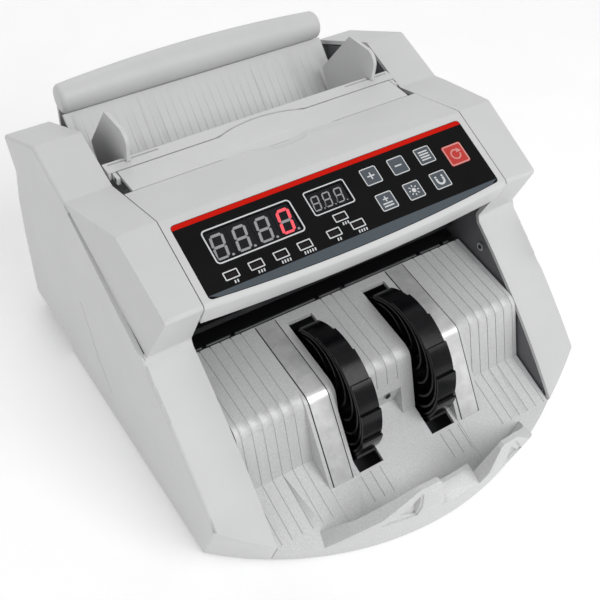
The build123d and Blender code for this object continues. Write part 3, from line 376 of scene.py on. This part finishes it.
def print_panel():
    """Everything that is printed on the panel, and the display segments."""
    body = "machine_frame"
    printed("red_stripe", body, RED_INK, [red_stripe()], FACE)
    printed("slate_band", body, SLATE_INK, [slate_band()], FACE)
    outlines = [frame_round(-52.1, 22.8, 51.0, 19.5, 2.4, 0.75),
                frame_round(-6.0, 20.4, 25.0, 14.8, 1.6, 0.65)]
    outlines += [frame_round(x, s, 8.0, 4.7, 0.5, 0.62) for x, s in LAMPS]
    printed("display_outlines", body, WHITE_INK, outlines, FACE)
    marks = []
    for index, (x, s) in enumerate(LAMPS):
        count = 2 + index % 4
        for i in range(count):
            at = x + 1.0 + (i - (count - 1) / 2) * 1.5
            marks.append(stroke(at, s + 3.3, at - 0.3, s + 4.9, 0.75))
    printed("lamp_marks", body, WHITE_INK, marks, FACE)
    off, on = [], []
    for x in COUNT_DIGITS[:3]:
        off += digit(x, 23.7, 7.8, 14.0, 1.45, "abcdefg")
    off += digit(COUNT_DIGITS[3], 23.7, 7.8, 14.0, 1.45, "g")
    on += digit(COUNT_DIGITS[3], 23.7, 7.8, 14.0, 1.6, "abcdef")
    off += [dot(x, 30.0, 0.75) for x in (-67.4, -55.1, -42.2, -29.7)]
    printed("count_segments", body, SEGMENT_OFF, off, DISH, 0.15)
    printed("count_segments_lit", body, SEGMENT_ON, on, DISH, 0.15)
    small = []
    for x in BATCH_DIGITS:
        small += digit(x, 20.9, 4.7, 8.6, 0.75, "abcdefg")
    small += [dot(x + 3.0, 24.9, 0.4) for x in BATCH_DIGITS]
    printed("batch_segments", body, SEGMENT_OFF, small, DISH, 0.15)


def key_mark(kind, x, s):
    """A plain pictogram for each key."""
    if kind == "plus":
        return [stroke(x - 2.3, s, x + 2.3, s, 0.75), stroke(x, s - 2.1, x, s - 0.4, 0.75),
                stroke(x, s + 0.4, x, s + 2.1, 0.75)]
    if kind == "minus":
        return [stroke(x - 2.2, s, x + 2.2, s, 0.8)]
    if kind == "batch":
        return [stroke(x - 3.0, s + d, x + 3.0, s + d, 0.8) for d in (-2.4, -0.8, 0.8, 2.4)]
    if kind == "add":
        lines = [stroke(x - 3.0, s + d, x + 3.0, s + d, 0.8) for d in (1.2, 2.8)]
        return lines + [stroke(x - 1.6, s - 1.4, x + 1.6, s - 1.4, 0.7), stroke(x, s - 3.0, x, s - 1.8, 0.7),
                        stroke(x, s - 1.0, x, s + 0.2, 0.7)]
    if kind == "uv":
        rays = []
        for i in range(8):
            c, n = math.cos(math.radians(45 * i)), math.sin(math.radians(45 * i))
            rays.append(stroke(x + 2.0 * c, s + 2.0 * n, x + 3.2 * c, s + 3.2 * n, 0.6))
        return [dot(x, s, 1.3)] + rays
    if kind == "mg":
        return [arc_band(x, s + 0.4, 2.1, 1.2, 0, 180), stroke(x - 2.1, s + 0.3, x - 2.1, s - 1.2, 1.2),
                stroke(x + 2.1, s + 0.3, x + 2.1, s - 1.2, 1.2),
                stroke(x - 2.1, s - 1.6, x - 2.1, s - 2.6, 1.2),
                stroke(x + 2.1, s - 1.6, x + 2.1, s - 2.6, 1.2)]
    arrow = [(x + 2.0, s - 3.6), (x + 4.4, s - 1.2), (x + 1.0, s - 0.8)], None
    return [arc_band(x, s, 2.8, 0.9, 0, 310), arrow]


KEYS = {"plus": (22.4, 17.5), "minus": (40.25, 17.5), "batch": (58.1, 17.5), "add": (22.4, 33.9),
        "uv": (40.25, 33.9), "mg": (58.1, 33.9)}


def print_keys():
    """Outline and pictogram of each key; they move with the key."""
    for kind, (x, s) in KEYS.items():
        shapes = [frame_round(x, s, 10.3, 10.3, 1.1, 0.55)] + key_mark(kind, x, s)
        printed("key_" + kind + "_print", "key_" + kind + "_cap", WHITE_INK, shapes, KEY_FACE)
    x, s = 75.95, 23.4
    shapes = [frame_round(x, s, 12.7, 12.7, 1.6, 0.9)] + key_mark("restart", x, s)
    printed("key_restart_print", "key_restart_cap", PINK_INK, shapes, KEY_FACE)


SEGMENT_ON.node_tree.nodes["Principled BSDF"].inputs["Emission Color"].default_value = (1.0, 0.12, 0.16, 1)
SEGMENT_ON.node_tree.nodes["Principled BSDF"].inputs["Emission Strength"].default_value = 0.55
print_panel()
print_keys()


# ---- guide lip, screw rims, and painted shade in screw sockets and strip gaps -------------------
LIP_SPANS = ((-7.2, 7.2), (10.4, 61.9), (65.0, 79.6), (82.5, 86.4))
LIP_Y = (-18.0, -17.1)
LIP_Z = (75.6, 76.5)
CHEEK_SCREW = (93.3, -37.3, 83.0)       # a screw on the inner face of each side cover
POCKET_SCREW = (0.0, -77.85, 45.8)      # the screw in the tray's pocket
MARK = 0.1                              # thickness of a disc on a screw
# rise of the black bands of painted shadow off the tray
GAP_SHADOW_RISE = 0.12
STRIP_X = (38.1, 50.0)                  # sides of a chrome strip
STRIP_BACK = Vector((-19.4, 75.3))      # its side line (y, z): back end, bend and foot
STRIP_BEND = Vector((-71.8, 68.4))
STRIP_FOOT = Vector((-100.5, 25.1))
STRIP_BEND_R = 7.0
GAP_SHADOW = 0.6                              # width of the black band of painted shadow round a strip


def added(name, material, corners, faces):
    """A small piece of the frame, from corners in mm."""
    data = bpy.data.meshes.new(name)
    data.from_pydata([tuple(Vector(c) * MM) for c in corners], [], faces)
    mesh = bmesh.new()
    mesh.from_mesh(data)
    bmesh.ops.recalc_face_normals(mesh, faces=mesh.faces)
    mesh.to_mesh(data)
    mesh.free()
    piece = bpy.data.objects.new(name, data)
    bpy.context.scene.collection.objects.link(piece)
    data.materials.append(material)
    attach(piece, "machine_frame")


def guide_lip():
    """Bright folded edge along the front of the feed guide."""
    corners, faces = [], []
    section = [(LIP_Y[0], LIP_Z[0]), (LIP_Y[1], LIP_Z[0]), (LIP_Y[1], LIP_Z[1]), (LIP_Y[0], LIP_Z[1])]
    spans = list(LIP_SPANS) + [(-b, -a) for a, b in LIP_SPANS[1:]]
    for x0, x1 in spans:
        base = len(corners)
        for x in (x0, x1):
            corners += [(x, y + SHIFT, z) for y, z in section]
        faces += [(base, base + 1, base + 2, base + 3), (base + 7, base + 6, base + 5, base + 4)]
        faces += [(base + i, base + i + 4, base + (i + 1) % 4 + 4, base + (i + 1) % 4) for i in range(4)]
    added("guide_lip", STEEL, corners, faces)


def disc(name, material, centre, along, radius, thick):
    """A thin disc about a centre, facing along an axis (0 = X, 1 = Y)."""
    corners, count = [], 28
    for step in (0, thick):
        for i in range(count):
            c, n = radius * math.cos(math.tau * i / count), radius * math.sin(math.tau * i / count)
            offset = (step, c, n) if along == 0 else (c, step, n)
            corners.append(tuple(a + b for a, b in zip(centre, offset)))
    faces = [tuple(range(count)), tuple(range(2 * count - 1, count - 1, -1))]
    faces += [(i, i + count, (i + 1) % count + count, (i + 1) % count) for i in range(count)]
    added(name, material, corners, faces)


def screw_marks():
    """Steel rim of each cheek screw, and black discs of painted shade for the socket of each cheek screw and
    of the screw in the tray's pocket.
    """
    wall, y, z = CHEEK_SCREW
    for side, rim, socket in (("right", wall - MARK, wall - 1.5 * MARK), ("left", -wall, MARK - wall)):
        disc(side + "_screw_rim", STEEL, (rim, y + SHIFT, z), 0, 2.1, MARK)
        disc(side + "_screw_socket_shade", BLACK, (socket, y + SHIFT, z), 0, 1.4, MARK / 2)
    x, y, z = POCKET_SCREW
    # black disc of painted shade for the socket of the pocket screw
    disc("pocket_screw_socket_shade", BLACK, (x, y - MARK + SHIFT, z), 1, 1.7, MARK)


def strip_line():
    """Side line of the chrome strips, as points with their outward directions."""
    back, foot = (STRIP_BACK - STRIP_BEND).normalized(), (STRIP_FOOT - STRIP_BEND).normalized()
    half = back.angle(foot) / 2
    centre = STRIP_BEND + (back + foot).normalized() * STRIP_BEND_R / math.sin(half)
    reach = STRIP_BEND_R / math.tan(half)
    up = (STRIP_BEND + back * reach - centre).normalized()
    out = (STRIP_BEND + foot * reach - centre).normalized()
    turns = [up.lerp(out, i / 8).normalized() for i in range(9)]
    return [(STRIP_BACK, up)] + [(centre + turn * STRIP_BEND_R, turn) for turn in turns] + [(STRIP_FOOT, out)]


def shadow_band(corners, faces, x0, x1, line):
    """Adds a thin black band of painted shadow between two x values along a side line."""
    base = len(corners)
    for point, out in line:
        for x, rise in ((x0, 0.0), (x1, 0.0), (x1, GAP_SHADOW_RISE), (x0, GAP_SHADOW_RISE)):
            at = point + out * rise
            corners.append((x, at.x + SHIFT, at.y))
    for i in range(len(line) - 1):
        a, b = base + 4 * i, base + 4 * i + 4
        faces += [(a + j, a + (j + 1) % 4, b + (j + 1) % 4, b + j) for j in range(4)]
    end = base + 4 * (len(line) - 1)
    faces += [(base + 3, base + 2, base + 1, base), (end, end + 1, end + 2, end + 3)]


def strip_gap_shadows():
    """Black bands of painted shadow in the gap round each chrome strip."""
    corners, faces = [], []
    line = strip_line()
    foot, out = line[-1]
    ahead = (foot - line[-2][0]).normalized() * GAP_SHADOW
    for side in (-1, 1):
        inner, outer = side * STRIP_X[0], side * STRIP_X[1]
        shadow_band(corners, faces, inner - side * GAP_SHADOW, inner, line)
        shadow_band(corners, faces, outer, outer + side * GAP_SHADOW, line)
        shadow_band(corners, faces, inner - side * GAP_SHADOW, outer + side * GAP_SHADOW, [(foot, out), (foot + ahead, out)])
    added("strip_gap_shadows", BLACK, corners, faces)


guide_lip()
strip_gap_shadows()
screw_marks()


# ---- studio -------------------------------------------------------------------------------------
CAMERA_AT = Vector((-239.6, -335.435, 456.3)) * MM
CAMERA_AIM = Vector((-8.36, -1.115, 60.0)) * MM
CAMERA_ROLL = 2.43
CAMERA_LENS = 58.2


def make_camera():
    """The camera, above and to the left of the machine."""
    data = bpy.data.cameras.new("camera")
    data.lens = CAMERA_LENS
    data.sensor_width = 36
    data.clip_start = 0.01
    camera = bpy.data.objects.new("camera", data)
    facing = (CAMERA_AIM - CAMERA_AT).to_track_quat("-Z", "Y")
    roll = Matrix.Rotation(math.radians(CAMERA_ROLL), 4, "Z")
    camera.matrix_world = Matrix.Translation(CAMERA_AT) @ facing.to_matrix().to_4x4() @ roll
    bpy.context.scene.collection.objects.link(camera)
    bpy.context.scene.camera = camera


def soft_light(name, at, aim, size, power):
    """A square soft box that faces a point."""
    data = bpy.data.lights.new(name, "AREA")
    data.shape = "SQUARE"
    data.size = size
    data.energy = power
    light = bpy.data.objects.new(name, data)
    at, aim = Vector(at), Vector(aim)
    light.matrix_world = Matrix.Translation(at) @ (aim - at).to_track_quat("-Z", "Y").to_matrix().to_4x4()
    bpy.context.scene.collection.objects.link(light)


def make_floor():
    """Plain pale floor that curves up behind."""
    mesh = bpy.data.meshes.new("floor")
    half, back, radius, steps = 3.0, 2.0, 0.8, 16
    profile = [(-3.0, 0.0)]
    for i in range(steps + 1):
        angle = math.radians(90 * i / steps)
        profile.append((back - radius + radius * math.sin(angle), radius - radius * math.cos(angle)))
    profile.append((back, 3.0))
    points = [(x, y, z) for y, z in profile for x in (-half, half)]
    faces = [(2 * i, 2 * i + 1, 2 * i + 3, 2 * i + 2) for i in range(len(profile) - 1)]
    mesh.from_pydata(points, [], faces)
    floor = bpy.data.objects.new("floor", mesh)
    bpy.context.scene.collection.objects.link(floor)
    for face in mesh.polygons:
        face.use_smooth = True
    material, tree, shader = new_material("floor_paper")
    speck = noise(tree, place(tree), 0.02, 2.0, 0.5)
    colour = ramp(tree, speck, [(0.3, (0.86, 0.86, 0.86)), (0.7, (0.88, 0.88, 0.88))])
    tree.links.new(colour, shader.inputs["Base Color"])
    shader.inputs["Roughness"].default_value = 0.9
    shader.inputs["Emission Color"].default_value = (1, 1, 1, 1)
    shader.inputs["Emission Strength"].default_value = 0.25
    mesh.materials.append(material)


def make_world():
    """Even pale surroundings."""
    world = bpy.data.worlds.new("world")
    world.use_nodes = True
    background = world.node_tree.nodes["Background"]
    background.inputs["Color"].default_value = (1, 1, 1, 1)
    background.inputs["Strength"].default_value = 0.43
    bpy.context.scene.world = world


make_camera()
soft_light("key_light", (0.3, -1.0, 1.15), (0, 0, 0.08), 0.9, 11)
soft_light("fill_light", (-1.3, -0.3, 0.8), (0, 0, 0.08), 1.0, 1.3)
soft_light("rim_light", (0.2, 1.1, 1.1), (0, 0, 0.1), 0.9, 2.2)
make_floor()
make_world()
bpy.context.scene.view_settings.view_transform = "Standard"
